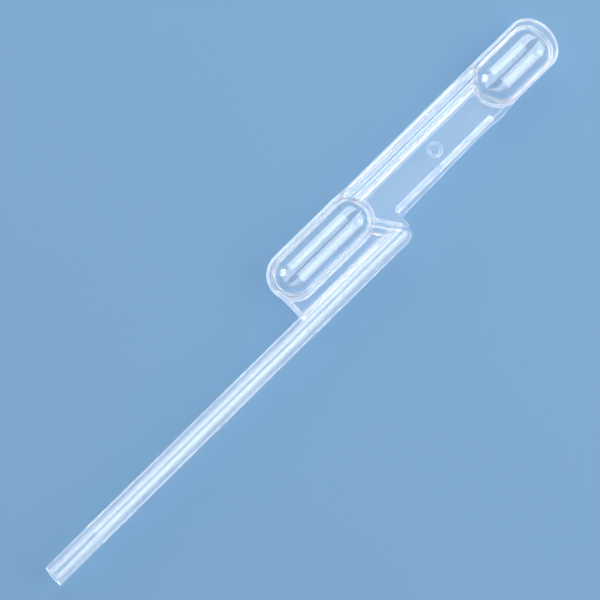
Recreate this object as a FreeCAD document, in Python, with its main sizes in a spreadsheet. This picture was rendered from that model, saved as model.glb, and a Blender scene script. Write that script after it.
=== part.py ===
import FreeCAD, Part
import os
import re
import sys

from Sketcher import Constraint

# Dual-bulb fixed-volume transfer pipette: one thin polyethylene moulding, lying flat.
# Every shape is drawn in the moulding's own frame. X runs along the stem from the mouth of the
# tip, Y runs from the stem's axis towards the bulbs, and Z = 0 is the mould's parting plane.
# Each finished sub-part is then placed so that the row's origin is under the middle of the
# object. Sizes are millimetres and degrees.

DRIVING = {
    # stem
    "stem_length": 79.0,
    "stem_outer": 3.5,
    "stem_bore": 2.2,
    "tip_length": 9.3,
    "tip_wider": 0.1,
    "lip_wider": 0.14,
    "lip_length": 0.7,
    "head_length": 6.0,
    "head_end_wall": 0.8,
    "seam_proud": 0.12,
    "seam_thick": 0.36,
    # overflow bulb and its seam flange
    "overflow_length": 19.1,
    "overflow_radius": 3.45,
    "overflow_end_share": 0.9,
    "overflow_behind_stem_end": 2.8,
    "overflow_rim_tip_side": 0.9,
    "overflow_rim_far_side": 0.7,
    "overflow_rim_outside": 0.85,
    "overflow_rim_stem_side": 0.5,
    # squeeze bulb and its seam flange
    "bulb_spacing": 25.3,
    "squeeze_length": 14.15,
    "squeeze_radius": 3.85,
    "squeeze_end_share": 0.78,
    "squeeze_rim_tip_side": 0.45,
    "squeeze_rim_far_side": 1.35,
    "squeeze_rim_outside": 0.85,
    "squeeze_rim_stem_side": 0.45,
    "squeeze_rim_below_overflow": 0.2,
    "squeeze_far_end_depth": 3.5,
    "press_height": 0.85,
    # walls and plates
    "bulb_wall": 0.4,
    "rim_thick": 0.7,
    "web_thick": 0.5,
    "edge_flange_thick": 0.36,
    # slanted port from the stem to the overflow bulb
    "port_behind_stem_end": 2.0,
    "port_slant": 34.0,
    "port_into_bulb": 1.5,
    "port_outer": 1.6,
    "port_bore": 1.0,
    "port_flange_width": 0.87,
    "port_flange_thick": 0.8,
    # air channel from bulb to bulb
    "channel_outer": 2.7,
    "channel_wall": 0.5,
    "channel_below_edge": 0.6,
    "channel_into_overflow": 1.0,
    "channel_into_squeeze": 1.7,
    "channel_flange_width": 0.36,
    "channel_flange_thick": 0.6,
    # where the flanges along the edges run out on the bulbs' round seam flanges
    "flange_meets_rim": 12.0,
    "flange_lap": 0.05,
    # gusset between the overflow bulb and the stem
    "gusset_width": 1.4,
    "gusset_before_bulb": 0.6,
    "gusset_bead_width": 0.7,
    "gusset_bead_thick": 0.9,
    # grip web, its free edge and the stem's shoulder
    "edge_flange_above_rim": 0.56,
    "edge_flange_width": 0.64,
    "edge_bulge": 0.3,
    "edge_bulge_run": 4.0,
    "edge_bulge_round": 4.0,
    "shoulder_proud": 0.12,
    "shoulder_length": 1.5,
    "shoulder_fillet": 0.7,
    "grip_bead_radius": 0.5,
    "grip_bead_after_shoulder": 0.5,
    "grip_bead_before_bulb": 1.0,
    # raised ring on the grip web's front
    "mark_before_bulb": 11.1,
    "mark_above_middle": 0.4,
    "mark_outer": 2.4,
    "mark_inner": 1.7,
    "mark_proud": 0.15,
    # reach of the cutting blocks, more than the whole object
    "beyond": 200.0,
}

DERIVED = {
    "stem_radius": "stem_outer / 2",
    "bore_radius": "stem_bore / 2",
    "tip_outer": "stem_outer + tip_wider",
    "lip_outer": "tip_outer + lip_wider",
    "head_start": "stem_length - head_length",
    "seam_radius": "stem_radius + seam_proud",
    "widest_stem": "max(seam_radius; lip_outer / 2; tip_outer / 2)",
    "shoulder_x": "stem_length + shoulder_proud",
    "shoulder_end": "shoulder_x + shoulder_length",
    "overflow_end_radius": "overflow_radius * overflow_end_share",
    "overflow_end": "stem_length - overflow_behind_stem_end",
    "overflow_start": "overflow_end - overflow_length",
    "overflow_rim_low": "stem_radius + gusset_width",
    "overflow_offset": "overflow_rim_low + overflow_rim_stem_side + overflow_radius",
    "overflow_rim_top": "overflow_offset + overflow_radius + overflow_rim_outside",
    "overflow_rim_radius": "(overflow_rim_top - overflow_rim_low) / 2",
    "overflow_rim_middle": "(overflow_rim_top + overflow_rim_low) / 2",
    "overflow_rim_near_x": "overflow_start - overflow_rim_tip_side + overflow_rim_radius",
    "overflow_rim_far_x": "overflow_end + overflow_rim_far_side - overflow_rim_radius",
    "squeeze_end_radius": "squeeze_radius * squeeze_end_share",
    "squeeze_start": "overflow_end + bulb_spacing",
    "squeeze_end": "squeeze_start + squeeze_length",
    "overall_length": "squeeze_end + squeeze_rim_far_side",
    "squeeze_rim_top": "overflow_rim_top - squeeze_rim_below_overflow",
    "squeeze_offset": "squeeze_rim_top - squeeze_rim_outside - squeeze_radius",
    "squeeze_rim_low": "squeeze_offset - squeeze_radius - squeeze_rim_stem_side",
    "squeeze_rim_radius": "(squeeze_rim_top - squeeze_rim_low) / 2",
    "squeeze_rim_middle": "(squeeze_rim_top + squeeze_rim_low) / 2",
    "squeeze_rim_near_x": "squeeze_start - squeeze_rim_tip_side + squeeze_rim_radius",
    "squeeze_rim_far_x": "overall_length - squeeze_far_end_depth",
    "press_split": "squeeze_radius - press_height",
    "port_stem_x": "stem_length - port_behind_stem_end",
    "port_length": "(overflow_offset - overflow_radius) / cos(port_slant) + port_into_bulb",
    "port_flange_reach": "port_outer / 2 + port_flange_width",
    "strip_middle": "port_stem_x + port_flange_reach / 2 / cos(port_slant)",
    "channel_radius": "channel_outer / 2",
    "channel_bore_radius": "channel_radius - channel_wall",
    "channel_offset": "overflow_rim_top - channel_below_edge - channel_radius",
    "channel_start": "overflow_end - channel_into_overflow",
    "channel_end": "squeeze_start + channel_into_squeeze",
    "channel_low": "channel_offset - channel_radius - channel_flange_width",
    "gusset_start": "overflow_start - gusset_before_bulb",
    "web_edge": "squeeze_rim_low + edge_flange_above_rim",
    "web_low": "web_edge - edge_flange_width",
    "bulge_x": "squeeze_start - squeeze_rim_tip_side + edge_bulge",
    "grip_bead_offset": "web_edge + grip_bead_radius",
    "grip_bead_start": "shoulder_x + grip_bead_after_shoulder",
    "grip_bead_length": "squeeze_start - grip_bead_before_bulb - grip_bead_start",
    "mark_x": "squeeze_start - mark_before_bulb",
    "mark_offset": "(web_edge + channel_low) / 2 + mark_above_middle",
    "shift_x": "-overall_length / 2",
    "shift_y": "-(overflow_rim_top - widest_stem) / 2",
    "parting_height": "max(squeeze_radius; overflow_radius)",
}

QUARTER_TURN = 1.5707963267948966
X_AXIS = -1
Y_AXIS = -2
ORIGIN = (-1, 1)
START = 1
END = 2
CENTRE = 3

doc = FreeCAD.newDocument("transfer_pipette")
nodes = {}


def add_sizes():
    """The sheet of sizes: plain driving numbers first, then the sizes that follow from them."""
    sheet = doc.addObject("Spreadsheet::Sheet", "Sizes")
    cells = [(alias, str(size)) for alias, size in DRIVING.items()]
    cells += [(alias, "=" + formula) for alias, formula in DERIVED.items()]
    for row, (alias, content) in enumerate(cells, start=1):
        sheet.set("A%d" % row, alias)
        sheet.set("B%d" % row, content)
        sheet.setAlias("B%d" % row, alias)
    doc.recompute()
    return sheet


sizes = add_sizes()


def number(formula):
    """What a formula of the sheet's aliases comes to now, worked out in a spare cell."""
    sizes.set("D1", "=0 + " + formula)
    sizes.recompute()
    return float(sizes.get("D1"))


def linked(formula):
    """The formula with the sheet's name before each of its aliases."""
    return re.sub(r"\b\w*_\w*\b|\bbeyond\b", lambda word: "Sizes." + word.group(), formula)


def bind(item, path, formula):
    item.setExpression(path, linked(formula))


def place(item, x="0", y="0", z="0"):
    bind(item, "Placement.Base.x", x)
    bind(item, "Placement.Base.y", y)
    bind(item, "Placement.Base.z", z)
    return item


def place_turned(item, spot, turn):
    """Place an item at a spot with a turn, both three formulas: x, y, z and yaw, pitch, roll."""
    where = "create(<<vector>>; " + "; ".join(linked(part) for part in spot) + ")"
    angle = "create(<<rotation>>; " + "; ".join(linked(part) for part in turn) + ")"
    item.setExpression("Placement", "create(<<placement>>; " + where + "; " + angle + ")")
    return item


def add_block(name, along, across, high):
    item = doc.addObject("Part::Box", name)
    bind(item, "Length", along)
    bind(item, "Width", across)
    bind(item, "Height", high)
    return item


def block(name, corner, along, across, high):
    return place(add_block(name, along, across, high), *corner)


def layer(name, low, high):
    """Everything between two heights."""
    corner = ("-beyond", "-beyond", low)
    return block(name, corner, "2 * beyond", "2 * beyond", "(" + high + ") - (" + low + ")")


def plate_layer(name, thick):
    """Everything within a plate of one thickness about the parting plane."""
    return layer(name, "-" + thick + " / 2", thick + " / 2")


def add_bar(name, radius, length):
    item = doc.addObject("Part::Cylinder", name)
    bind(item, "Radius", radius)
    bind(item, "Height", length)
    return item


def column(name, x, y, radius):
    """An upright round column through the parting plane."""
    return place(add_bar(name, radius, "beyond"), x, y, "-beyond / 2")


def bar(name, x, y, radius, length):
    """A round bar in the parting plane, along X."""
    return place_turned(add_bar(name, radius, length), (x, y, "0"), ("0", "90", "0"))


def port_bar(name, radius):
    """A round bar along the port, from the stem's axis into the overflow bulb."""
    item = add_bar(name, radius, "port_length")
    return place_turned(item, ("port_stem_x", "0", "0"), ("port_slant", "0", "-90"))


def ball(name, x, y, radius):
    item = doc.addObject("Part::Sphere", name)
    bind(item, "Radius", radius)
    return place(item, x, y)


def fuse(name, *items):
    item = doc.addObject("Part::MultiFuse", name)
    item.Shapes = list(items)
    return item


def cut(name, base, *tools):
    item = doc.addObject("Part::Cut", name)
    item.Base = base
    item.Tool = tools[0] if len(tools) == 1 else fuse(name + "_tools", *tools)
    return item


def common(name, base, tool):
    item = doc.addObject("Part::Common", name)
    item.Base = base
    item.Tool = tool
    return item


def finish(item, node, along="0"):
    """Name a finished sub-part and put it in its place in the row's frame."""
    item.Label = node
    place(item, "shift_x + " + along, "shift_y", "parting_height")
    nodes[node] = item


def new_sketch(name, plane):
    """A body with an empty sketch on one of its own origin planes."""
    body = doc.addObject("PartDesign::Body", name)
    sketch = body.newObject("Sketcher::SketchObject", name + "_outline")
    origin = [part for part in body.Origin.OriginFeatures if part.Role == plane][0]
    sketch.AttachmentSupport = [(origin, "")]
    sketch.MapMode = "FlatFace"
    return body, sketch


def set_size(sketch, name, formula, kind, *what):
    """Add a sizing constraint that follows a formula."""
    index = sketch.addConstraint(Constraint(kind, *what, number(formula)))
    sketch.renameConstraint(index, name)
    bind(sketch, "Constraints." + name, formula)


def draw_polygon(sketch, corners):
    """A closed polygon through corners given as x and y formulas, 0 meaning on the axis."""
    spots = [FreeCAD.Vector(number(x), number(y), 0) for x, y in corners]
    count = len(spots)
    for i in range(count):
        sketch.addGeometry(Part.LineSegment(spots[i], spots[(i + 1) % count]))
    for i in range(count):
        sketch.addConstraint(Constraint("Coincident", i, END, (i + 1) % count, START))
    for i, (x, y) in enumerate(corners):
        if x == "0":
            sketch.addConstraint(Constraint("PointOnObject", i, START, Y_AXIS))
        else:
            set_size(sketch, "x%d" % i, x, "DistanceX", *ORIGIN, i, START)
        if y == "0":
            sketch.addConstraint(Constraint("PointOnObject", i, START, X_AXIS))
        else:
            set_size(sketch, "y%d" % i, y, "DistanceY", *ORIGIN, i, START)


def pad(body, sketch, length, about_plane):
    item = body.newObject("PartDesign::Pad", body.Name + "_pad")
    item.Profile = sketch
    item.Midplane = about_plane
    bind(item, "Length", length)
    body.Tip = item
    return item


def plate(name, corners, thick, rounded=()):
    """A flat plate about the parting plane. rounded holds corner numbers with their radii."""
    body, sketch = new_sketch(name, "XY_Plane")
    draw_polygon(sketch, corners)
    last = pad(body, sketch, thick, True)
    for corner, radius in rounded:
        doc.recompute()
        x, y = (number(formula) for formula in corners[corner])
        upright = [
            "Edge%d" % i
            for i, edge in enumerate(last.Shape.Edges, start=1)
            if all(abs(v.X - x) + abs(v.Y - y) < 1e-6 for v in edge.Vertexes)
        ]
        fillet = body.newObject("PartDesign::Fillet", "%s_round_%d" % (name, corner))
        fillet.Base = (last, upright)
        bind(fillet, "Radius", radius)
        body.Tip = fillet
        last = fillet
    return body


def revolve(body, sketch):
    """Turn a sketch a full circle about the X axis."""
    turned = body.newObject("PartDesign::Revolution", body.Name + "_turned")
    turned.Profile = sketch
    turned.ReferenceAxis = (sketch, ["H_Axis"])
    turned.Angle = 360
    body.Tip = turned
    return body


def blown_bulb(name, bulb, inset):
    """A solid bulb along X, round at the tip side and flatter at the far end.

    bulb is the prefix of its sizes. inset is what is taken off every side: nothing for the
    outside, the wall for the hollow."""
    body, sketch = new_sketch(name, "XY_Plane")
    less = " - " + inset
    long = number(bulb + "_length" + less)
    wide = number(bulb + "_radius" + less)
    corner = number(bulb + "_end_radius" + less)
    near = number(bulb + "_radius")
    vector = FreeCAD.Vector
    up = vector(0, 0, 1)
    near_circle = Part.Circle(vector(near, 0, 0), up, wide)
    far_circle = Part.Circle(vector(long - corner, wide - corner, 0), up, corner)
    outline = (
        Part.ArcOfCircle(near_circle, QUARTER_TURN, 2 * QUARTER_TURN),
        Part.LineSegment(vector(near, wide, 0), vector(long - corner, wide, 0)),
        Part.ArcOfCircle(far_circle, 0, QUARTER_TURN),
        Part.LineSegment(vector(long, wide - corner, 0), vector(long, 0, 0)),
        Part.LineSegment(vector(long, 0, 0), vector(near - wide, 0, 0)),
    )
    for stretch in outline:
        sketch.addGeometry(stretch)
    near_arc, side, far_arc, end, axis = range(len(outline))
    for rule in (
        ("Tangent", near_arc, START, side, START),
        ("Tangent", side, END, far_arc, END),
        ("Tangent", far_arc, START, end, START),
        ("Coincident", end, END, axis, START),
        ("Coincident", axis, END, near_arc, END),
        ("PointOnObject", near_arc, CENTRE, X_AXIS),
        ("Horizontal", side),
        ("Vertical", end),
        ("PointOnObject", axis, START, X_AXIS),
        ("PointOnObject", axis, END, X_AXIS),
    ):
        sketch.addConstraint(Constraint(*rule))
    set_size(sketch, "near_x", bulb + "_radius", "DistanceX", *ORIGIN, near_arc, CENTRE)
    set_size(sketch, "near_size", bulb + "_radius" + less, "Radius", near_arc)
    set_size(sketch, "far_size", bulb + "_end_radius" + less, "Radius", far_arc)
    set_size(sketch, "far_x", bulb + "_length" + less, "DistanceX", *ORIGIN, axis, START)
    return place(revolve(body, sketch), bulb + "_start", bulb + "_offset")


def round_ended_bar(name, start, end, y, radius):
    """A round bar along X with a ball at each end."""
    middle = bar(name + "_bar", start, y, radius, end + " - " + start)
    return fuse(name, middle, ball(name + "_near", start, y, radius), ball(name + "_far", end, y, radius))


def stem_outside(name, radius):
    """The stem's outside from the end of the tip to its rounded head, at one radius."""
    end = "stem_length - stem_radius"
    middle = bar(name + "_bar", "tip_length", "0", radius, end + " - tip_length")
    return fuse(name, middle, ball(name + "_end", end, "0", radius))


def overflow_rim_outline():
    """Upright column with the outline of the overflow bulb's seam flange: a stadium."""
    near = column("overflow_rim_near", "overflow_rim_near_x", "overflow_rim_middle", "overflow_rim_radius")
    far = column("overflow_rim_far", "overflow_rim_far_x", "overflow_rim_middle", "overflow_rim_radius")
    corner = ("overflow_rim_near_x", "overflow_rim_low", "-beyond / 2")
    long = "overflow_rim_far_x - overflow_rim_near_x"
    side = block("overflow_rim_side", corner, long, "2 * overflow_rim_radius", "beyond")
    return fuse("overflow_rim_column", near, side, far)


def squeeze_rim_outline():
    """The same for the squeeze bulb, whose far end is half an ellipse."""
    near = column("squeeze_rim_near", "squeeze_rim_near_x", "squeeze_rim_middle", "squeeze_rim_radius")
    oval = doc.addObject("Part::Ellipse", "squeeze_rim_oval")
    bind(oval, "MajorRadius", "squeeze_rim_radius")
    bind(oval, "MinorRadius", "squeeze_far_end_depth")
    place_turned(oval, ("squeeze_rim_far_x", "squeeze_rim_middle", "0"), ("90", "0", "0"))
    far = doc.addObject("Part::Extrusion", "squeeze_rim_far")
    far.Base = oval
    far.DirMode = "Custom"
    far.Dir = FreeCAD.Vector(0, 0, 1)
    far.Solid = True
    far.Symmetric = True
    bind(far, "LengthFwd", "beyond")
    corner = ("squeeze_rim_near_x", "squeeze_rim_low", "-beyond / 2")
    long = "squeeze_rim_far_x - squeeze_rim_near_x"
    side = block("squeeze_rim_side", corner, long, "2 * squeeze_rim_radius", "beyond")
    return fuse("squeeze_rim_column", near, side, far)


# Solid shapes that several sub-parts are cut to, so that neighbours share one surface.
front_side = layer("front_side", "0", "beyond")
back_side = layer("back_side", "-beyond", "0")
stem_solid = stem_outside("stem_solid", "stem_radius")
overflow_solid = blown_bulb("overflow_solid", "overflow", "0")
overflow_hollow = blown_bulb("overflow_hollow", "overflow", "bulb_wall")
squeeze_solid = blown_bulb("squeeze_solid", "squeeze", "0")
squeeze_hollow = blown_bulb("squeeze_hollow", "squeeze", "bulb_wall")
overflow_column = overflow_rim_outline()
squeeze_column = squeeze_rim_outline()
port_solid = port_bar("port_solid", "port_outer / 2")
port_hollow = port_bar("port_hollow", "port_bore / 2")
port_strip = place_turned(
    add_block("port_strip", "port_flange_reach", "port_length", "port_flange_thick"),
    ("port_stem_x", "0", "-port_flange_thick / 2"),
    ("port_slant", "0", "0"),
)
channel_solid = round_ended_bar(
    "channel_solid", "channel_start", "channel_end", "channel_offset", "channel_radius"
)
channel_hollow = round_ended_bar(
    "channel_hollow", "channel_start", "channel_end", "channel_offset", "channel_bore_radius"
)


def dispensing_tip():
    """The plain round end of the stem, slightly flared at its mouth."""
    body, sketch = new_sketch("tip", "XY_Plane")
    draw_polygon(
        sketch,
        (
            ("0", "bore_radius"),
            ("0", "lip_outer / 2"),
            ("lip_length", "tip_outer / 2"),
            ("tip_length", "tip_outer / 2"),
            ("tip_length", "bore_radius"),
        ),
    )
    finish(revolve(body, sketch), "dispensing_tip")


def measuring_stem():
    """The long tube whose bore holds the measured volume."""
    body, sketch = new_sketch("stem", "YZ_Plane")
    up = FreeCAD.Vector(0, 0, 1)
    for i, radius in enumerate(("stem_radius", "bore_radius")):
        sketch.addGeometry(Part.Circle(FreeCAD.Vector(0, 0, 0), up, number(radius)))
        sketch.addConstraint(Constraint("Coincident", i, CENTRE, *ORIGIN))
        set_size(sketch, "circle%d" % i, radius, "Radius", i)
    pad(body, sketch, "head_start - tip_length", False)
    finish(body, "measuring_stem", "tip_length")


def stem_head():
    """The stem's closed, rounded upper end, open at its side to the port."""
    corner = ("-beyond", "-beyond", "-beyond")
    below = block("below_head", corner, "beyond + head_start", "2 * beyond", "2 * beyond")
    bore_end = "stem_length - head_end_wall - bore_radius"
    start = "head_start - stem_bore"
    bore = bar("head_bore", start, "0", "bore_radius", bore_end + " - head_start + stem_bore")
    bore_tip = ball("head_bore_end", bore_end, "0", "bore_radius")
    finish(cut("head", stem_solid, below, bore, bore_tip, port_hollow), "stem_head")


def stem_seams():
    """The mould's seam ridges along both sides of the stem, to the gusset on the bulb side."""
    grown = stem_outside("seam_outside", "seam_radius")
    low = "-seam_thick / 2"
    sides = (
        ("outer", ("0", "-beyond", low), "beyond"),
        ("inner", ("0", "0", low), "gusset_start"),
    )
    for side, corner, long in sides:
        name = "seam_" + side
        band = common(name + "_band", grown, block(name + "_side", corner, long, "beyond", "seam_thick"))
        finish(cut(name, band, stem_solid), "stem_seam_" + side)


def overflow_port():
    """The slanted cross channel, and the flat strip beside it."""
    tools = (port_hollow, overflow_solid, stem_solid)
    finish(cut("port", port_solid, *tools), "overflow_port")
    tools = (port_solid, overflow_column, stem_solid)
    finish(cut("port_flange", port_strip, *tools), "overflow_port_flange")


def overflow_bulb():
    """Front and back half shells, and the seam flange between them."""
    tools = (overflow_hollow, port_hollow, channel_hollow)
    shell = cut("overflow_shell", overflow_solid, *tools)
    finish(common("overflow_front", shell, front_side), "overflow_bulb_front")
    finish(common("overflow_back", shell, back_side), "overflow_bulb_back")
    thin = plate_layer("overflow_rim_layer", "rim_thick")
    flange = common("overflow_rim_plate", overflow_column, thin)
    tools = (overflow_solid, port_solid, channel_solid)
    rim = cut("overflow_rim", flange, *tools)
    past_port = place_turned(
        add_block("past_port", "beyond", "beyond", "beyond"),
        ("port_stem_x", "0", "-beyond / 2"),
        ("port_slant", "0", "0"),
    )
    corner = ("-beyond", "-beyond", "-beyond")
    below_channel = block(
        "below_channel", corner, "2 * beyond", "beyond + channel_offset", "2 * beyond"
    )
    between = common("between_port_and_channel", past_port, below_channel)
    finish(common("overflow_end_rim", rim, between), "overflow_bulb_end_rim")
    finish(cut("overflow_main_rim", rim, between), "overflow_bulb_rim")


def squeeze_bulb():
    """Side walls that fold, crowns that are pressed in, and the seam flange."""
    shell = cut("squeeze_shell", squeeze_solid, squeeze_hollow, channel_hollow)
    bands = (
        ("front_wall", "0", "press_split"),
        ("front_press", "press_split", "beyond"),
        ("back_wall", "-press_split", "0"),
        ("back_press", "-beyond", "-press_split"),
    )
    for name, low, high in bands:
        band = layer("squeeze_%s_layer" % name, low, high)
        finish(common("squeeze_" + name, shell, band), "squeeze_bulb_" + name)
    thin = plate_layer("squeeze_rim_layer", "rim_thick")
    flange = common("squeeze_rim_plate", squeeze_column, thin)
    finish(cut("squeeze_rim", flange, squeeze_solid, channel_solid), "squeeze_bulb_rim")


def gusset():
    """The flat web between the overflow bulb and the stem, and its raised free edge."""
    corner = ("gusset_start", "0", "-gusset_bead_thick / 2")
    bead = block("gusset_bead_bar", corner, "gusset_bead_width", "overflow_offset", "gusset_bead_thick")
    finish(cut("gusset_bead", bead, overflow_column, stem_solid), "gusset_edge_bead")
    web_start = "gusset_start + gusset_bead_width"
    corners = (
        (web_start, "0"),
        ("port_stem_x", "0"),
        ("port_stem_x - overflow_offset * tan(port_slant)", "overflow_offset"),
        (web_start, "overflow_offset"),
    )
    drawn = plate("gusset_drawn", corners, "web_thick")
    finish(cut("gusset", drawn, overflow_column, stem_solid, port_solid), "gusset_web")


def air_channel():
    """The straight channel from bulb to bulb, with a seam flange along each side."""
    tools = (channel_hollow, overflow_solid, squeeze_solid)
    wall = cut("channel_wall", channel_solid, *tools)
    finish(common("channel_front", wall, front_side), "air_channel_front")
    finish(common("channel_back", wall, back_side), "air_channel_back")
    near = "overflow_rim_far_x + overflow_rim_radius * sin(flange_meets_rim)"
    far = "squeeze_rim_near_x - squeeze_rim_radius * sin(flange_meets_rim)"
    near_top = "overflow_rim_middle + overflow_rim_radius * cos(flange_meets_rim) - flange_lap"
    far_top = "squeeze_rim_middle + squeeze_rim_radius * cos(flange_meets_rim) - flange_lap"
    sides = (
        ("outer", ("channel_offset", far_top, near_top)),
        ("inner", ("channel_low", "channel_offset", "channel_offset")),
    )
    for side, (low, far_high, near_high) in sides:
        name = "channel_" + side
        corners = ((near, low), (far, low), (far, far_high), (near, near_high))
        drawn = plate(name + "_drawn", corners, "channel_flange_thick")
        tools = (channel_solid, overflow_column, squeeze_column)
        finish(cut(name, drawn, *tools), "air_channel_%s_flange" % side)


def grip_web():
    """The flat plate held between the fingers, with its thin outer edge."""
    corners = (
        ("strip_middle - web_edge * tan(port_slant)", "web_edge"),
        ("squeeze_rim_near_x", "web_edge"),
        ("squeeze_rim_near_x", "channel_low"),
        ("strip_middle - channel_low * tan(port_slant)", "channel_low"),
    )
    drawn = plate("web_drawn", corners, "web_thick")
    finish(cut("web", drawn, overflow_column, squeeze_column, port_strip), "grip_web")
    corners = (
        ("shoulder_end", "web_edge"),
        ("shoulder_end", "web_low"),
        ("bulge_x - edge_bulge_run", "web_low"),
        ("bulge_x", "web_low - edge_bulge"),
        ("squeeze_rim_near_x", "squeeze_rim_low + flange_lap"),
        ("squeeze_rim_near_x", "web_edge"),
    )
    rounded = ((3, "edge_bulge_round"),)
    drawn = plate("edge_drawn", corners, "edge_flange_thick", rounded)
    finish(cut("edge", drawn, squeeze_column), "grip_edge_flange")


def stem_shoulder():
    """The flat corner between the stem's head and the grip web, with its concave notch."""
    corners = (
        ("strip_middle", "0"),
        ("shoulder_x", "0"),
        ("shoulder_x", "web_low"),
        ("shoulder_end", "web_low"),
        ("shoulder_end", "web_edge"),
        ("strip_middle - web_edge * tan(port_slant)", "web_edge"),
    )
    drawn = plate("shoulder_drawn", corners, "web_thick", ((2, "shoulder_fillet"),))
    finish(cut("shoulder", drawn, stem_solid, port_strip), "stem_shoulder")


def grip_beads():
    """The raised bead along the grip web, round at the stem end and square at the far end."""
    start = "grip_bead_start"
    offset = "grip_bead_offset"
    radius = "grip_bead_radius"
    middle = bar("grip_bead_bar", start, offset, radius, "grip_bead_length")
    whole = fuse("grip_bead", middle, ball("grip_bead_near", start, offset, radius))
    faces = cut("grip_bead_faces", whole, plate_layer("grip_bead_layer", "web_thick"))
    finish(common("grip_bead_top", faces, front_side), "grip_bead_front")
    finish(common("grip_bead_under", faces, back_side), "grip_bead_back")


def cavity_mark():
    """A small raised ring on the grip web's front."""
    ring = column("mark_column", "mark_x", "mark_offset", "mark_outer / 2")
    hole = column("mark_hole", "mark_x", "mark_offset", "mark_inner / 2")
    raised = layer("mark_layer", "web_thick / 2", "web_thick / 2 + mark_proud")
    finish(cut("mark", common("mark_disc", ring, raised), hole), "cavity_mark")


for build in (
    dispensing_tip,
    measuring_stem,
    stem_head,
    stem_seams,
    overflow_port,
    overflow_bulb,
    squeeze_bulb,
    gusset,
    air_channel,
    grip_web,
    stem_shoulder,
    grip_beads,
    cavity_mark,
):
    build()

sizes.clear("D1")
doc.recompute()

faults = [item.Label for item in doc.Objects if {"Invalid", "Error"} & set(item.State)]
for node, item in nodes.items():
    shape = item.Shape
    if shape.isNull() or not shape.isValid() or len(shape.Solids) != 1:
        faults.append("%s: %d solids" % (node, 0 if shape.isNull() else len(shape.Solids)))
if faults:
    sys.exit("these did not build: " + ", ".join(faults))

os.makedirs("parts", exist_ok=True)
for node, item in nodes.items():
    item.Shape.exportStep("parts/%s.step" % node)
    print("%-28s %8.2f mm3" % (node, item.Shape.Volume))
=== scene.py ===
import math

import bpy
import numpy as np
from mathutils import Matrix, Vector


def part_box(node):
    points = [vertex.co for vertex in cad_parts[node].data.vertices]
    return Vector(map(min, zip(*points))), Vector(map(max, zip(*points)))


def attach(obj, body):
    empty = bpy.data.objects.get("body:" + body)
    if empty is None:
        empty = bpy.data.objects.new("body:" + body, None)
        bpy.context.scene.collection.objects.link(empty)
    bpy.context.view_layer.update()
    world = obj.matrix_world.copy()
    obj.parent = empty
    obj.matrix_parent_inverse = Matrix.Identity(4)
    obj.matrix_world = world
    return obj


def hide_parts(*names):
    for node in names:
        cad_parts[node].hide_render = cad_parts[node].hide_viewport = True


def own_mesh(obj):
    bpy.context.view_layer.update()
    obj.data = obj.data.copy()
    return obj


# A fixed-volume dual-bulb transfer pipette, one moulding of thin translucent polyethylene.
# The moulding is described as a distance field in its own frame, in millimetres: X from the mouth
# of the tip, Y from the stem's axis towards the bulbs, Z = 0 on the mould's parting plane. Places
# and outer sizes are read from the CAD frame's boxes. The bore, the walls, the port's slant and the
# roundings, which no box shows, are values here. The field's surface is meshed with surface nets,
# so the walls, the hollows and the fillets between them are one closed skin.

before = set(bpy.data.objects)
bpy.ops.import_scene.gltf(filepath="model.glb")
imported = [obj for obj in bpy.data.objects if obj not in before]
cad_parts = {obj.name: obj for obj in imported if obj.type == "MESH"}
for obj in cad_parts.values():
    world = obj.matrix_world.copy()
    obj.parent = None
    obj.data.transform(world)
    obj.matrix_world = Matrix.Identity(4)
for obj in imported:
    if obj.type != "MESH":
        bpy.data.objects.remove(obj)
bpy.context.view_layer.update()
MM = 1000.0

# ------------------------------------------------------------------ the moulding's own frame

tip_low, tip_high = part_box("dispensing_tip")
stem_low, stem_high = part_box("measuring_stem")
ORIGIN = np.array(
    [tip_low.x, (tip_low.y + tip_high.y) / 2, (stem_low.z + stem_high.z) / 2]
)


def span(node):
    """A CAD node's box in the moulding's frame, in mm: (x0, x1, y0, y1, z0, z1)."""
    low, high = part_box(node)
    a = (np.array(low) - ORIGIN) * MM
    b = (np.array(high) - ORIGIN) * MM
    return a[0], b[0], a[1], b[1], a[2], b[2]


TIP_END = span("dispensing_tip")[1]
LIP_R = span("dispensing_tip")[3]
STEM_R = span("measuring_stem")[3]
HEAD_END = span("stem_head")[1]
SEAM_R = -span("stem_seam_outer")[2]
SEAM_HALF = span("stem_seam_outer")[5]
OX0, OX1, OY0, OY1 = span("overflow_bulb_front")[:4]
OV_R = (OY1 - OY0) / 2
OV_Y = (OY1 + OY0) / 2
ORX0, _, ORY0, ORY1, _, RIM_HALF = span("overflow_bulb_rim")
SX0, SX1, SY0, SY1 = span("squeeze_bulb_front_wall")[:4]
SQ_R = (SY1 - SY0) / 2
SQ_Y = (SY1 + SY0) / 2
SRX0, SRX1, SRY0, SRY1 = span("squeeze_bulb_rim")[:4]
CH_Y = (span("air_channel_front")[2] + span("air_channel_front")[3]) / 2
CH_R = (span("air_channel_front")[3] - span("air_channel_front")[2]) / 2
CH_LOW = span("air_channel_inner_flange")[2]
GUSSET_X, GUSSET_BEAD_X = span("gusset_edge_bead")[:2]
WEB_EDGE = span("grip_web")[2]
WEB_HALF = span("grip_web")[5]
EDGE_LOW = span("grip_edge_flange")[2]
EDGE_HALF = span("grip_edge_flange")[5]
BEAD_X1 = span("grip_bead_front")[1]
BEAD_R = span("grip_bead_front")[5]
MARK_X = (span("cavity_mark")[0] + span("cavity_mark")[1]) / 2
MARK_Y = (span("cavity_mark")[2] + span("cavity_mark")[3]) / 2

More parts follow.
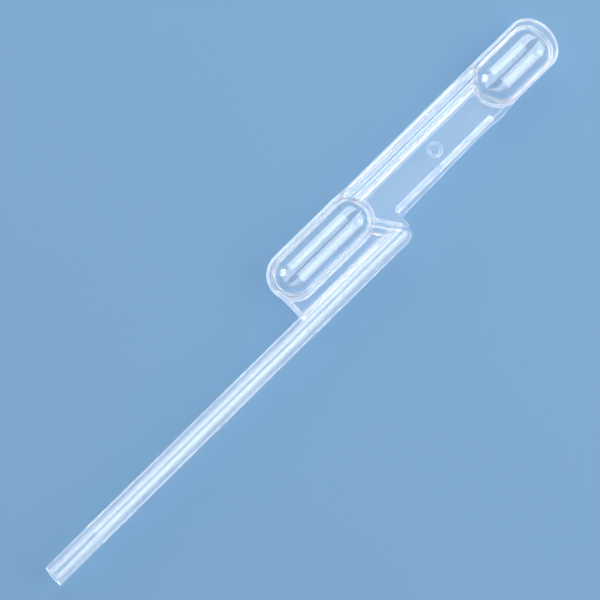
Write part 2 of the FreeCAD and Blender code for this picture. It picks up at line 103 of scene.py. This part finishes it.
# sizes that no box of the frame shows, and places that follow from them
BORE_R = 1.1
WALL = 0.4
CHANNEL_WALL = 0.5
TIP_WIDER = 0.05
TIP_R = STEM_R + TIP_WIDER
SEAM_SINK = 0.06
SEAM_LOW = SEAM_R - SEAM_SINK
OV_END_R = 3.1
SQ_END_R = 3.0
END_RIM_WIDTH = 0.7
ORX1 = OX1 + END_RIM_WIDTH
CH_X0, CH_X1 = OX1 - 1.0, SX0 + 1.7
SHOULDER_X = HEAD_END + 0.12
BEAD_X0 = span("grip_bead_front")[0] + 0.5
BEAD_Y = WEB_EDGE + 0.3
RIM_INSET = 0.03
FOLD_INSET = 0.2
FOLD_HALF = 0.13
MARK_RING_R = 1.02

# the slanted port: its bore and wall, and how far across it the head, the bore and the strip reach
PORT_X = HEAD_END - 2.0
SLANT = math.radians(34.0)
PORT_BORE_R = 0.5
PORT_R = 0.8
PORT_REACH = (OV_Y - OV_R) / math.cos(SLANT) + 1.5
HEAD_CUT = 1.35
BORE_CUT = 0.62
STRIP_EDGE = 1.67
STRIP_LINE = 1.32
STRIP_LENGTH = OV_Y / math.cos(SLANT)

# ------------------------------------------------------------------ distance fields


def smin(a, b, fillet):
    """Union of two fields with a fillet of about that size."""
    h = np.clip(0.5 + 0.5 * (b - a) / fillet, 0.0, 1.0)
    return b + (a - b) * h - fillet * h * (1.0 - h)


def smax(a, b, fillet):
    """What two fields have in common, its edge rounded."""
    return -smin(-a, -b, fillet)


def hypot(a, b):
    return np.sqrt(a * a + b * b)


def corner(a, b):
    """Distance past two edges that meet: round outside the corner, the nearer edge inside it."""
    return hypot(np.maximum(a, 0), np.maximum(b, 0)) + np.minimum(np.maximum(a, b), 0)


def slab(outline, z, half, round_by):
    """An outline in the parting plane made a plate of that half thickness, edges rounded."""
    a = outline + round_by
    b = np.abs(z) - half + round_by
    return corner(a, b) - round_by


def box2(x, y, x0, x1, y0, y1, r=0.0):
    """A rectangle in the parting plane, its corners rounded by r."""
    a = np.abs(x - (x0 + x1) / 2) - (x1 - x0) / 2 + r
    b = np.abs(y - (y0 + y1) / 2) - (y1 - y0) / 2 + r
    return corner(a, b) - r


def polygon(x, y, corners):
    """Distance to a polygon in the parting plane, negative inside."""
    best = None
    inside = None
    count = len(corners)
    for i in range(count):
        ax, ay = corners[i]
        bx, by = corners[(i + 1) % count]
        ex, ey = bx - ax, by - ay
        wx, wy = x - ax, y - ay
        t = np.clip((wx * ex + wy * ey) / (ex * ex + ey * ey), 0, 1)
        d = (wx - ex * t) ** 2 + (wy - ey * t) ** 2
        best = d if best is None else np.minimum(best, d)
        crossing = ((ay > y) != (by > y)) & (x < (bx - ax) * (y - ay) / ((by - ay) or 1e-9) + ax)
        inside = crossing if inside is None else inside ^ crossing
    return np.where(inside, -1.0, 1.0) * np.sqrt(best)


def blown(x, v, x0, x1, radius, end_radius):
    """A body of revolution: a half ball at the tip side, a flatter end with a rounded edge."""
    near_x = x0 + radius
    near = np.where(x < near_x, hypot(x - near_x, v), v) - radius
    a = x - (x1 - end_radius)
    b = v - (radius - end_radius)
    far = corner(a, b) - end_radius
    return np.maximum(near, far)


def capsule(x, v, x0, x1, radius):
    """A round rod along X with ball ends, v being the distance from its axis."""
    return hypot(np.maximum(np.maximum(x0 - x, x - x1), 0), v) - radius


def squeeze_warp(x, y):
    """The squeeze bulb's tip side runs back a little on its stem side."""
    dy = (SQ_Y - y) / SQ_R
    fade = np.clip(1 - (x - SX0) / 5.0, 0, 1)
    return x - 0.8 * np.clip(1 - ((dy - 0.45) / 0.55) ** 2, 0, 1) * fade


def squeeze_outside(x, y, z, inset=0.0):
    """The squeeze bulb, or its hollow where inset is the wall."""
    warped = squeeze_warp(x, y)
    v = hypot(y - SQ_Y, z)
    return blown(warped, v, SX0 + inset, SX1 - inset, SQ_R - inset, SQ_END_R - inset)


def overflow_outside(x, y, z, inset=0.0):
    """The overflow bulb, or its hollow where inset is the wall."""
    v = hypot(y - OV_Y, z)
    return blown(x, v, OX0 + inset, OX1 - inset, OV_R - inset, OV_END_R - inset)


def port_frame(x, y):
    """Place along and across the slanted port, which leaves the stem's axis at PORT_X."""
    dx = x - PORT_X
    along = -math.sin(SLANT) * dx + math.cos(SLANT) * y
    across = math.cos(SLANT) * dx + math.sin(SLANT) * y
    return along, across


def stem_waver(x):
    """Slight unevenness of the drawn bore along the stem."""
    return (
        0.010 * np.sin(x * 0.21 + 0.6) + 0.004 * np.sin(x * 0.53 + 2.0),
        0.010 * np.sin(x * 0.17 + 1.9) + 0.004 * np.sin(x * 0.43),
    )


def hollow(x, y, z):
    """The air inside: bore, port, both bulbs and the air channel."""
    shift, swell = stem_waver(x)
    fade = np.clip((x - 3.0) / 5.0, 0, 1)
    v = hypot(y - shift * fade, z)
    bore = hypot(np.maximum(x - (HEAD_END - 0.8 - BORE_R), 0), v) - (BORE_R + swell * fade)
    along, across = port_frame(x, y)
    bore = smax(bore, across - BORE_CUT, fillet=0.35)
    port = np.maximum(hypot(across, z) - PORT_BORE_R, np.maximum(-along, along - PORT_REACH))
    channel = capsule(x, hypot(y - CH_Y, z), CH_X0, CH_X1, CH_R - CHANNEL_WALL)
    bulb = overflow_outside(x, y, z, WALL)
    field = smin(bore, port, fillet=0.25)
    field = smin(field, bulb, fillet=0.3)
    field = smin(field, channel, fillet=0.3)
    return smin(field, squeeze_outside(x, y, z, WALL), fillet=0.3)


def overflow_rim(x, y):
    """The overflow bulb's flange, drawn in a little so that its rounded edge stays in the CAD box."""
    radius = (ORY1 - ORY0) / 2
    middle = (ORY1 + ORY0) / 2
    past = np.maximum(ORX0 + radius - x, x - ORX1 + radius)
    return hypot(np.maximum(past, 0), y - middle) - radius + RIM_INSET


def squeeze_rim(x, y):
    """The squeeze bulb's flange, with a flatter far end than a half circle."""
    radius = (SRY1 - SRY0) / 2
    middle = (SRY1 + SRY0) / 2
    end_length = 3.5
    far_x = SRX1 - end_length
    stretch = np.where(x > far_x, radius / end_length, 1.0)
    past = np.maximum(SRX0 + radius - x, (x - far_x) * stretch)
    return hypot(np.maximum(past, 0), y - middle) - radius


def folds(x, y, z):
    """The raised lines: round both rims, along the port's strip and on the gusset's free edge."""
    on_overflow = np.abs(overflow_rim(x, y) + FOLD_INSET)
    on_squeeze = np.abs(squeeze_rim(x, y) + FOLD_INSET)
    rims = np.minimum(on_overflow, on_squeeze) - FOLD_HALF
    field = slab(rims, z, RIM_HALF + FOLD_HALF, round_by=0.12)
    along, across = port_frame(x, y)
    strip = box2(across, along, STRIP_LINE, STRIP_EDGE, 0.0, STRIP_LENGTH, 0.1)
    field = np.minimum(field, slab(strip, z, half=0.52, round_by=0.14))
    gusset = box2(x, y, GUSSET_X, GUSSET_BEAD_X, 0, OV_Y, 0.2)
    return np.minimum(field, slab(gusset, z, half=0.55, round_by=0.32))


def flats(x, y, z):
    """Every flat region of the moulding: rims, webs, flanges and their raised edges."""
    field = slab(overflow_rim(x, y), z, RIM_HALF, round_by=0.14)
    field = smin(field, slab(squeeze_rim(x, y), z, RIM_HALF, round_by=0.14), fillet=0.15)
    tan = math.tan(SLANT)
    gusset_x = GUSSET_BEAD_X - 0.3
    gusset = polygon(
        x, y, ((gusset_x, 0), (PORT_X, 0), (PORT_X - OV_Y * tan, OV_Y), (gusset_x, OV_Y))
    )
    field = smin(field, slab(gusset, z, WEB_HALF, round_by=0.1), fillet=0.2)
    strip_x = PORT_X + STRIP_EDGE / 2 / math.cos(SLANT)
    web = polygon(
        x,
        y,
        (
            (strip_x, 0),
            (SHOULDER_X, 0),
            (SHOULDER_X, EDGE_LOW + 0.3),
            (SHOULDER_X + 0.3, WEB_EDGE),
            (SRX0 + 2, WEB_EDGE),
            (SRX0 + 2, CH_LOW + 0.4),
            (strip_x - CH_LOW * tan, CH_LOW + 0.4),
        ),
    )
    field = smin(field, slab(web, z, WEB_HALF, round_by=0.08), fillet=0.12)
    edge = polygon(
        x,
        y,
        (
            (SHOULDER_X - 0.4, EDGE_LOW - 0.15),
            (SX0 - 4.2, EDGE_LOW + 0.3),
            (SX0 - 1.8, EDGE_LOW + 0.22),
            (SX0 - 0.15, EDGE_LOW),
            (SX0 + 2.2, EDGE_LOW + 0.16),
            (SX0 + 3.7, SRY0 + 0.03),
            (SX0 + 3.7, BEAD_Y),
            (SHOULDER_X - 0.4, BEAD_Y),
        ),
    )
    field = smin(field, slab(edge, z, EDGE_HALF, round_by=0.1), fillet=0.1)
    along, across = port_frame(x, y)
    strip = box2(across, along, 0.0, STRIP_EDGE, 0.0, STRIP_LENGTH, 0.1)
    field = smin(field, slab(strip, z, half=0.4, round_by=0.16), fillet=0.15)
    field = smin(field, folds(x, y, z), fillet=0.08)
    top = CH_Y + CH_R + 0.36
    sides = polygon(
        x,
        y,
        (
            (ORX1 - 1.0, CH_LOW),
            (SRX0 + 1.0, CH_LOW),
            (SRX0 + 1.0, CH_Y),
            (SRX0 + 4.6, CH_Y),
            (SRX0 + 4.6, SRY1 - 0.02),
            (SRX0 + 0.5, top),
            (ORX1 + 0.3, top),
            (ORX1 - 4.2, ORY1 - 0.02),
            (ORX1 - 4.2, CH_Y),
            (ORX1 - 1.0, CH_Y),
        ),
    )
    return smin(field, slab(sides, z, half=0.3, round_by=0.14), fillet=0.12)


def grip_bead(x, y, z):
    """The raised bead along the grip web, round at the stem's end and square at the far end."""
    bead = capsule(x, hypot((y - BEAD_Y) * 1.2, z), BEAD_X0, BEAD_X1 + 1.0, BEAD_R)
    return smax(bead, x - BEAD_X1, fillet=0.2)


def mark_ring(x, y, z):
    """The plain raised ring on the grip web's front."""
    ring = np.abs(hypot(x - MARK_X, y - MARK_Y) - MARK_RING_R) - 0.2
    return smax(ring, np.maximum(z - WEB_HALF - 0.2, -z), fillet=0.12)


def outside(x, y, z):
    """The moulding's outer form as if it were solid, but for the squeeze bulb's domes."""
    v = hypot(y, z)
    lip = np.clip(1 - x / 0.8, 0, 1) ** 2 * (LIP_R - TIP_R)
    plain = np.clip((TIP_END - x) / 0.8, 0, 1)
    radius = STEM_R + (TIP_R - STEM_R) * plain + lip
    stem = hypot(np.maximum(x - (HEAD_END - STEM_R), 0), v) - radius
    mouth = 0.07 * y + 0.15 - x
    stem = smax(stem, mouth, fillet=0.12)
    along, across = port_frame(x, y)
    stem = smax(stem, across - HEAD_CUT, fillet=0.5)
    seam_outline = np.minimum(
        box2(x, y, TIP_END + 0.1, HEAD_END - 1.2, -SEAM_LOW, SEAM_LOW),
        box2(x, y, TIP_END + 0.1, TIP_END + 1.1, -SEAM_R, SEAM_R, 0.03),
    )
    seam = slab(seam_outline, z, SEAM_HALF, round_by=0.07)
    field = smin(stem, seam, fillet=0.08)
    field = smin(field, flats(x, y, z), fillet=0.22)
    port = np.maximum(hypot(across, z) - PORT_R, np.maximum(-along, along - PORT_REACH))
    field = smin(field, port, fillet=0.2)
    field = smin(field, grip_bead(x, y, z), fillet=0.12)
    channel = capsule(x, hypot(y - CH_Y, z), CH_X0, CH_X1, CH_R)
    field = smin(field, mark_ring(x, y, z), fillet=0.06)
    field = smin(field, overflow_outside(x, y, z), fillet=0.3)
    return smin(field, channel, fillet=0.25)


# the domes part from the body this high, just inside the rim, with a gap too thin to see
SPLIT = RIM_HALF - 0.02
GAP = 0.004


def whole(x, y, z):
    """The whole moulding, walls only."""
    solid = smin(outside(x, y, z), squeeze_outside(x, y, z), fillet=0.3)
    return np.maximum(solid, -hollow(x, y, z))


def near_dome(x, y):
    """Negative where the squeeze bulb's domes stand on the rim."""
    warped = squeeze_warp(x, y)
    return blown(warped, np.abs(y - SQ_Y), SX0, SX1, SQ_R, SQ_END_R) - 0.12


def body_field(x, y, z):
    """The moulding without the squeeze bulb's domes above the rim."""
    dome = np.maximum(SPLIT - np.abs(z), near_dome(x, y))
    channel_keep = capsule(x, hypot(y - CH_Y, z), CH_X0, SX0 - 0.2, CH_R + 0.05)
    dome = np.maximum(dome, -channel_keep)
    return np.maximum(whole(x, y, z), -dome)


def dome_field(side):
    """The squeeze bulb's dome above the rim, side 1 being the front."""

    def field(x, y, z):
        dome = np.maximum(SPLIT + GAP - side * z, near_dome(x, y) + GAP / 2)
        return np.maximum(whole(x, y, z), dome)

    return field


# ------------------------------------------------------------------ surface nets


def surface(field, xs, ys, zs):
    """Points and quads of the field's zero surface on an uneven grid, then pulled onto it."""
    grid = [np.asarray(axis, float) for axis in (xs, ys, zs)]
    values = field(grid[0][:, None, None], grid[1][None, :, None], grid[2][None, None, :])
    values = np.broadcast_to(values, tuple(len(a) for a in grid))
    cells = np.array([len(a) - 1 for a in grid])
    total = int(cells.prod())
    sums = np.zeros((total, 3))
    count = np.zeros(total)
    crossings = []
    for axis in range(3):
        low = [slice(None)] * 3
        high = [slice(None)] * 3
        low[axis] = slice(0, -1)
        high[axis] = slice(1, None)
        a, b = values[tuple(low)], values[tuple(high)]
        at = np.argwhere((a < 0) != (b < 0))
        fa, fb = a[tuple(at.T)], b[tuple(at.T)]
        t = fa / (fa - fb)
        where = np.stack([grid[d][at[:, d]] for d in range(3)], 1)
        step = grid[axis][at[:, axis] + 1] - grid[axis][at[:, axis]]
        where[:, axis] += t * step
        others = [d for d in range(3) if d != axis]
        around = []
        for du, dv in ((0, 0), (1, 0), (1, 1), (0, 1)):
            cell = at.copy()
            cell[:, others[0]] -= du
            cell[:, others[1]] -= dv
            good = ((cell >= 0) & (cell < cells)).all(1)
            flat = (cell[:, 0] * cells[1] + cell[:, 1]) * cells[2] + cell[:, 2]
            flat = np.where(good, flat, -1)
            around.append(flat)
            for d in range(3):
                sums[:, d] += np.bincount(flat[good], where[good, d], total)
            count += np.bincount(flat[good], minlength=total)
        around = np.stack(around, 1)
        flip = (fa < 0) if axis != 1 else (fa >= 0)
        around[~flip] = around[~flip][:, ::-1]
        crossings.append(around[(around >= 0).all(1)])
    used = np.flatnonzero(count)
    index = np.full(total, -1)
    index[used] = np.arange(len(used))
    points = sums[used] / count[used][:, None]
    quads = index[np.concatenate(crossings)]
    return settle(field, points, 5), quads


def gradient(field, p):
    """A field's slope at points, from its values 1 micrometre to each side."""
    e = 1e-3
    x, y, z = p.T
    return np.stack(
        [
            field(x + e, y, z) - field(x - e, y, z),
            field(x, y + e, z) - field(x, y - e, z),
            field(x, y, z + e) - field(x, y, z - e),
        ],
        1,
    ) / (2 * e)


def settle(field, points, rounds):
    """Pull points onto the zero surface along the field's slope."""
    for _ in range(rounds):
        slope = gradient(field, points)
        size = np.maximum((slope**2).sum(1), 0.25)
        move = slope * (field(*points.T) / size)[:, None]
        length = np.maximum(np.linalg.norm(move, axis=1), 1e-9)
        move *= np.minimum(1.0, 0.08 / length)[:, None]
        points = points - move * 0.9
    return points


def stretches(*parts):
    """Grid places from (start, end, step) stretches that follow each other."""
    places = []
    for start, end, step in parts:
        n = max(1, round((end - start) / step))
        places += [start + (end - start) * i / n for i in range(n)]
    return places + [parts[-1][1]]


def milkiness_and_painted_light(points, normals):
    """Flats are pinched and hazier, and blown walls are clear. Painted highlights whiten the flats' cut
    edges, the grip bead and the ring mark, and they whiten the raised lines together with the real haze
    of their thicker plastic; painted light lightens the shade on steep walls and whitens their edges.
    """
    x, y, z = points.T
    blown_part = np.minimum(overflow_outside(x, y, z), squeeze_outside(x, y, z))
    flat = np.exp(-np.maximum(flats(x, y, z), 0) / 0.15)
    flat *= 1 - 0.85 * np.exp(-np.maximum(blown_part, 0) / 0.15)
    fold = np.exp(-np.maximum(folds(x, y, z), 0) / 0.05)
    steep = 1 - np.abs(normals[:, 2])
    bead = np.exp(-np.maximum(grip_bead(x, y, z), 0) / 0.1)
    stem = np.clip((1.95 - hypot(y, z)) / 0.1, 0, 1) * np.clip((HEAD_END - x) / 1.0, 0, 1)
    cut_end = np.clip((0.6 - x) / 0.3, 0, 1) * np.clip(-normals[:, 0], 0, 1) ** 2
    # real haze everywhere and on flats; painted highlights on the flats' cut edges, on steep walls
    # where they also lighten shade, and on the raised lines along with their thicker haze
    haze_and_painted_light = 0.012 + 0.055 * flat + 0.32 * flat * steep**1.5 + 0.10 * steep**4 + 0.18 * fold
    # painted highlight along the grip bead, brighter and dimmer in stretches along it
    bead_highlight_stretches = 0.7 + 0.3 * np.sin(x * 1.3) * np.sin(x * 0.47 + 1.0)
    # painted highlight on the raised ring mark, standing in for the light its steep sides bend
    mark = np.exp(-np.maximum(mark_ring(x, y, z), 0) / 0.04)
    return haze_and_painted_light + 0.32 * bead * bead_highlight_stretches + 0.045 * stem + 0.5 * cut_end + 0.10 * mark


def make_piece(name, field, xs, ys, zs, material):
    """A mesh of the field's surface, with normals from its slope and its own haze, painted highlights
    included.
    """
    points, quads = surface(field, xs, ys, zs)
    mesh = bpy.data.meshes.new(name)
    placed = points / MM + ORIGIN
    mesh.from_pydata([tuple(p) for p in placed], [], [tuple(int(i) for i in q) for q in quads])
    mesh.validate()
    mesh.update()
    mesh.polygons.foreach_set("use_smooth", np.ones(len(mesh.polygons), bool))
    slope = gradient(field, points)
    slope /= np.maximum(np.linalg.norm(slope, axis=1), 1e-9)[:, None]
    mesh.normals_split_custom_set_from_vertices([tuple(n) for n in slope])
    haze_and_painted_light = mesh.attributes.new("haze_and_painted_light", "FLOAT", "POINT")
    haze_and_painted_light.data.foreach_set("value", milkiness_and_painted_light(points, slope).astype(np.float32))
    piece = bpy.data.objects.new(name, mesh)
    bpy.context.scene.collection.objects.link(piece)
    mesh.materials.append(material)
    print(name, len(points), "points", len(quads), "quads")
    return piece


# ------------------------------------------------------------------ materials


def new_material(name):
    material = bpy.data.materials.new(name)
    material.use_nodes = True
    tree = material.node_tree
    tree.nodes.clear()
    return material, tree


def node(tree, kind, **settings):
    """A shader node, each setting being an input of that name or else a property."""
    made = tree.nodes.new(kind)
    for key, value in settings.items():
        if key in made.inputs:
            made.inputs[key].default_value = value
        else:
            setattr(made, key, value)
    return made


def polyethylene(name, tint):
    """Clear, slightly milky soft plastic: glass-like walls that let lamps through, and haze.

    The mesh's haze attribute says how milky each region is and carries painted highlights, and walls
    seen edge-on are made whiter, partly by the longer path through the milky wall and partly as a
    painted edge highlight."""
    material, tree = new_material(name)
    link = tree.links.new
    out = node(tree, "ShaderNodeOutputMaterial")
    where = node(tree, "ShaderNodeTexCoord")
    stretch = node(tree, "ShaderNodeMapping")
    stretch.inputs["Scale"].default_value = (90.0, 700.0, 700.0)
    link(where.outputs["Object"], stretch.inputs["Vector"])
    flow = node(tree, "ShaderNodeTexNoise", Scale=1.0, Detail=1.0, Roughness=0.5)
    link(stretch.outputs["Vector"], flow.inputs["Vector"])
    bump = node(tree, "ShaderNodeBump", Strength=0.04, Distance=0.00008)
    link(flow.outputs["Fac"], bump.inputs["Height"])
    clear = node(tree, "ShaderNodeBsdfPrincipled", IOR=1.51, Roughness=0.07)
    clear.inputs["Base Color"].default_value = tint
    clear.inputs["Transmission Weight"].default_value = 1.0
    link(bump.outputs["Normal"], clear.inputs["Normal"])
    tone = node(tree, "ShaderNodeValToRGB")
    tone.color_ramp.elements[0].position = 0.35
    tone.color_ramp.elements[0].color = (0.84, 0.84, 0.98, 1.0)
    tone.color_ramp.elements[1].position = 0.65
    tone.color_ramp.elements[1].color = (0.90, 0.96, 0.96, 1.0)
    link(flow.outputs["Fac"], tone.inputs["Fac"])
    milky = node(tree, "ShaderNodeBsdfTranslucent")
    white = node(tree, "ShaderNodeBsdfDiffuse")
    link(tone.outputs["Color"], milky.inputs["Color"])
    link(tone.outputs["Color"], white.inputs["Color"])
    cloud = node(tree, "ShaderNodeMixShader", Fac=0.5)
    link(milky.outputs[0], cloud.inputs[1])
    link(white.outputs[0], cloud.inputs[2])
    region = node(tree, "ShaderNodeAttribute", attribute_name="haze_and_painted_light")
    uneven = node(tree, "ShaderNodeMapRange")
    uneven.inputs["From Min"].default_value = 0.3
    uneven.inputs["From Max"].default_value = 0.7
    uneven.inputs["To Min"].default_value = 0.7
    uneven.inputs["To Max"].default_value = 1.3
    link(flow.outputs["Fac"], uneven.inputs["Value"])
    haze_and_painted_light = node(tree, "ShaderNodeMath", operation="MULTIPLY")
    link(region.outputs["Fac"], haze_and_painted_light.inputs[0])
    link(uneven.outputs[0], haze_and_painted_light.inputs[1])
    # walls seen edge-on are whitened: partly the longer path through the milky wall, partly a painted
    # edge highlight
    facing = node(tree, "ShaderNodeLayerWeight", Blend=0.5)
    edge = node(tree, "ShaderNodeMath", operation="POWER")
    edge.inputs[1].default_value = 5.0
    link(facing.outputs["Facing"], edge.inputs[0])
    haze_plus_painted_edges = node(tree, "ShaderNodeMath", operation="MULTIPLY_ADD", use_clamp=True)
    haze_plus_painted_edges.inputs[1].default_value = 0.35
    link(edge.outputs[0], haze_plus_painted_edges.inputs[0])
    link(haze_and_painted_light.outputs[0], haze_plus_painted_edges.inputs[2])
    wall = node(tree, "ShaderNodeMixShader")
    link(haze_plus_painted_edges.outputs[0], wall.inputs[0])
    link(clear.outputs[0], wall.inputs[1])
    link(cloud.outputs[0], wall.inputs[2])
    path = node(tree, "ShaderNodeLightPath")
    through = node(tree, "ShaderNodeBsdfTransparent")
    through.inputs["Color"].default_value = (0.82, 0.84, 0.87, 1.0)
    last = node(tree, "ShaderNodeMixShader")
    link(path.outputs["Is Shadow Ray"], last.inputs[0])
    link(wall.outputs[0], last.inputs[1])
    link(through.outputs[0], last.inputs[2])
    link(last.outputs[0], out.inputs["Surface"])
    return material


def plain(name, colour, roughness):
    """A material of one colour, for the floor."""
    material, tree = new_material(name)
    out = node(tree, "ShaderNodeOutputMaterial")
    surface_node = node(tree, "ShaderNodeBsdfPrincipled", Roughness=roughness)
    surface_node.inputs["Base Color"].default_value = colour
    tree.links.new(surface_node.outputs[0], out.inputs["Surface"])
    return material


body_plastic = polyethylene("moulded_polyethylene", (0.985, 0.992, 1.0, 1.0))
dome_plastic = polyethylene("blown_polyethylene", (0.99, 0.995, 1.0, 1.0))

# ------------------------------------------------------------------ pieces

# grids in mm, finer where the moulding has detail: the mouth, the gusset to the port, and the bulbs
mirror_z = stretches((0.0, 0.5, 0.1), (0.5, 1.3, 0.16), (1.3, 4.1, 0.28))
body_z = [-z for z in mirror_z[:0:-1]] + mirror_z
body_y = stretches((-2.2, -0.9, 0.13), (-0.9, 0.9, 0.2), (0.9, 3.4, 0.14), (3.4, 11.8, 0.2))
PLAIN_WEB_X0, PLAIN_WEB_X1 = 84.5, 100.0
body_x = stretches(
    (-0.35, 1.0, 0.12),
    (1.0, GUSSET_X - 1.5, 0.55),
    (GUSSET_X - 1.5, PLAIN_WEB_X0, 0.19),
    (PLAIN_WEB_X0, PLAIN_WEB_X1, 0.3),
    (PLAIN_WEB_X1, 117.4, 0.18),
)
body = make_piece("moulded_body", body_field, body_x, body_y, body_z, body_plastic)
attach(body, "moulding")
domes = {
    "squeeze_bulb_front_wall",
    "squeeze_bulb_back_wall",
    "squeeze_bulb_front_press",
    "squeeze_bulb_back_press",
}
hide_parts(*sorted(set(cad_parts) - domes))

dome_x = stretches((SX0 - 0.6, SX1 + 0.6, 0.15))
dome_y = stretches((SY0 - 0.6, SY1 + 0.6, 0.15))
dome_z = stretches((0.1, 1.5, 0.12), (1.5, 4.2, 0.15))
for side, word in ((1, "front"), (-1, "back")):
    heights = dome_z if side == 1 else [-z for z in dome_z[::-1]]
    dome = make_piece("squeeze_bulb_" + word, dome_field(side), dome_x, dome_y, heights, dome_plastic)
    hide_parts("squeeze_bulb_%s_wall" % word, "squeeze_bulb_%s_press" % word)
    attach(dome, word + "_press")
    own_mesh(dome)

# ------------------------------------------------------------------ stage, light and camera

floor_mesh = bpy.data.meshes.new("floor")
FLOOR_REACH = 1.3
FLOOR_DROP = 0.0002
floor_corners = [(x * FLOOR_REACH, y * FLOOR_REACH, 0) for x, y in ((-1, -1), (1, -1), (1, 1), (-1, 1))]
floor_mesh.from_pydata(floor_corners, [], [(0, 1, 2, 3)])
floor = bpy.data.objects.new("floor", floor_mesh)
bpy.context.scene.collection.objects.link(floor)
floor_mesh.materials.append(plain("pale_floor", (0.100, 0.208, 0.330, 1.0), 0.7))
floor.location.z = -FLOOR_DROP

world = bpy.data.worlds.new("soft_room")
bpy.context.scene.world = world
world.use_nodes = True
world.node_tree.nodes["Background"].inputs["Color"].default_value = (0.85, 0.92, 1.0, 1.0)
world.node_tree.nodes["Background"].inputs["Strength"].default_value = 0.6

target = Vector((-0.10 / MM, ORIGIN[1] + 3.69 / MM, ORIGIN[2]))


PANEL_HEIGHT = 0.6
PANEL_RADIANCE = 3.5


def area_light(name, size, power):
    """A rectangular soft light, still to be placed."""
    data = bpy.data.lights.new(name, "AREA")
    data.shape = "RECTANGLE"
    data.size, data.size_y = size
    data.energy = power
    light = bpy.data.objects.new(name, data)
    bpy.context.scene.collection.objects.link(light)
    return light


def softbox(name, direction, distance, size, power):
    """A soft light that looks at the object from a direction."""
    light = area_light(name, size, power)
    away = Vector(direction).normalized()
    light.location = target + away * distance
    light.rotation_mode = "QUATERNION"
    light.rotation_quaternion = away.to_track_quat("Z", "X")


def panel(name, x0, x1, y0, y1):
    """A level soft panel over the object, given by its edges."""
    area = (x1 - x0) * (y1 - y0)
    light = area_light(name, (x1 - x0, y1 - y0), PANEL_RADIANCE * area * math.pi)
    light.location = ((x0 + x1) / 2, (y0 + y1) / 2, PANEL_HEIGHT)


panel("outer_panel", 0.03, 1.3, 0.285, 1.65)
panel("stem_panel", 0.03, 1.3, -1.35, -0.06)
softbox("round_light", (-0.56, 0.77, 0.31), 0.9, (0.5, 0.5), 5.0)

camera_data = bpy.data.cameras.new("camera")
camera = bpy.data.objects.new("camera", camera_data)
bpy.context.scene.collection.objects.link(camera)
bpy.context.scene.camera = camera
# how far off the camera stands, the width it sees there, its tilt towards the tip and its turn
DISTANCE = 1.5
WIDTH = 93.79 / MM
SENSOR = 36.0
TILT = math.radians(9.5)
TURN = math.radians(44.55)
camera_data.sensor_width = SENSOR
camera_data.lens = SENSOR * DISTANCE / WIDTH
camera_data.clip_start, camera_data.clip_end = 0.01, 20.0
# the directions back to the camera, along the stem as the camera sees it, and across the stem
back = Vector((-math.sin(TILT), 0.0, math.cos(TILT)))
stem_up = Vector((math.cos(TILT), 0.0, math.sin(TILT)))
side_left = Vector((0.0, 1.0, 0.0))
right = stem_up * math.cos(TURN) - side_left * math.sin(TURN)
up = stem_up * math.sin(TURN) + side_left * math.cos(TURN)
place = Matrix((right, up, back)).transposed().to_4x4()
place.translation = target + back * DISTANCE
camera.matrix_world = place

bpy.context.scene.view_settings.view_transform = "Standard"
